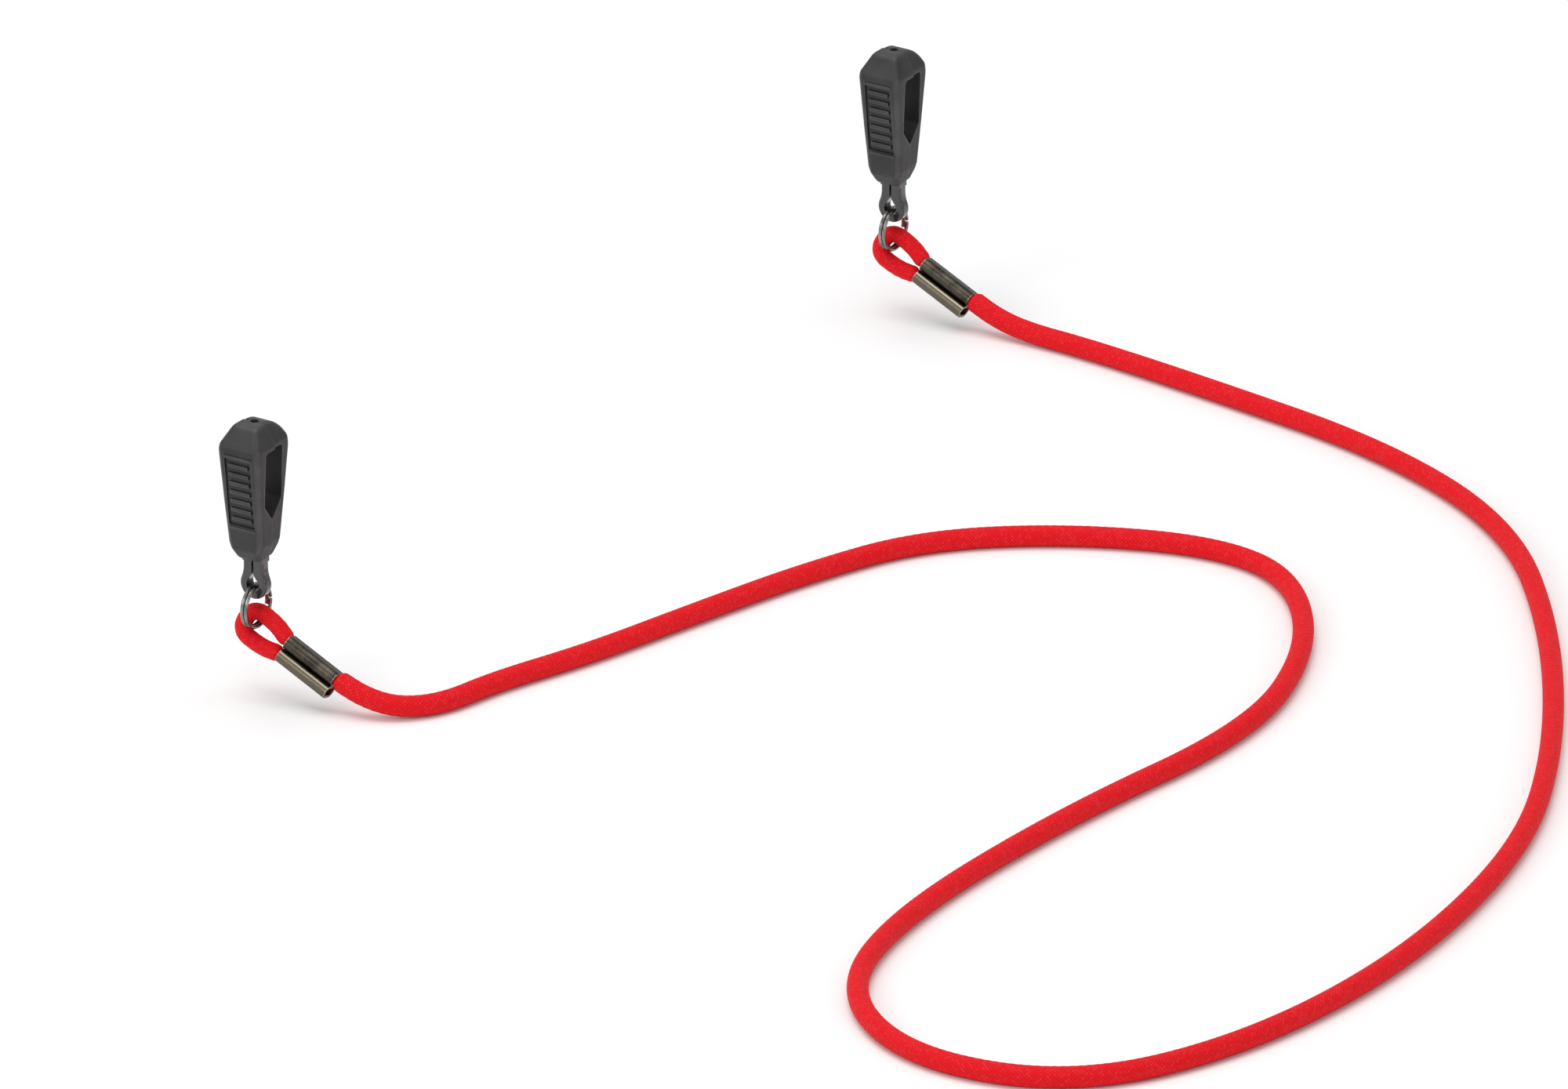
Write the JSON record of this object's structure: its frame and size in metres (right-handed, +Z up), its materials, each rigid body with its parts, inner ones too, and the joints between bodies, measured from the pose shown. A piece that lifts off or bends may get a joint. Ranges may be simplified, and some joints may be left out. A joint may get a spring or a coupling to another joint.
{
  "type": "eyeglass retainer strap",
  "caption": "Eyeglass retainer strap: slotted rubber temple grips with keyhole eyelets and split rings, joined by a braided cord with crimped end loops.",
  "frame": {"origin": "middle of the left grip's temple slot, on the temple's centre line", "axes": "+X from the left grip to the right grip, +Y forward along the temples, +Z up"},
  "size_m": [0.2043, 0.1696, 0.0367],
  "materials": {
    "grip_rubber": "matte moulded rubber, charcoal",
    "eyelet_plastic": "glossy black moulded plastic",
    "ring_metal": "dark nickel wire, worn bright on the edges",
    "crimp_brass": "antiqued brass sheet, rubbed lighter on the edges",
    "cord_fabric": "red braided polyester cord"
  },
  "bodies": {
    "grips": {"left_grip_front": "grip_rubber", "left_grip_back": "grip_rubber", "left_eyelet": "eyelet_plastic", "right_grip_front": "grip_rubber", "right_grip_back": "grip_rubber", "right_eyelet": "eyelet_plastic"},
    "left_ring": {"left_split_ring": "ring_metal"},
    "right_ring": {"right_split_ring": "ring_metal"},
    "strap_cord": {"cord": "cord_fabric", "left_crimp": "crimp_brass", "right_crimp": "crimp_brass"}
  },
  "joints": [
    {"name": "left_ring_swing", "type": "hinge", "parent": "grips", "child": "left_ring", "pos_m": [0, 0, -0.0145], "axis": [-1, 0, 0], "range_deg": [0, 40]},
    {"name": "right_ring_swing", "type": "hinge", "parent": "grips", "child": "right_ring", "pos_m": [0.148, 0, -0.0145], "axis": [-1, 0, 0], "range_deg": [0, 40]},
    {"name": "cord_swing", "type": "hinge", "parent": "left_ring", "child": "strap_cord", "pos_m": [0, 0, -0.02004], "axis": [-1, 0, 0], "range_deg": [0, 45]}
  ],
  "couplings": [
    {"joint": "right_ring_swing", "follows": "left_ring_swing", "ratio": 1}
  ]
}
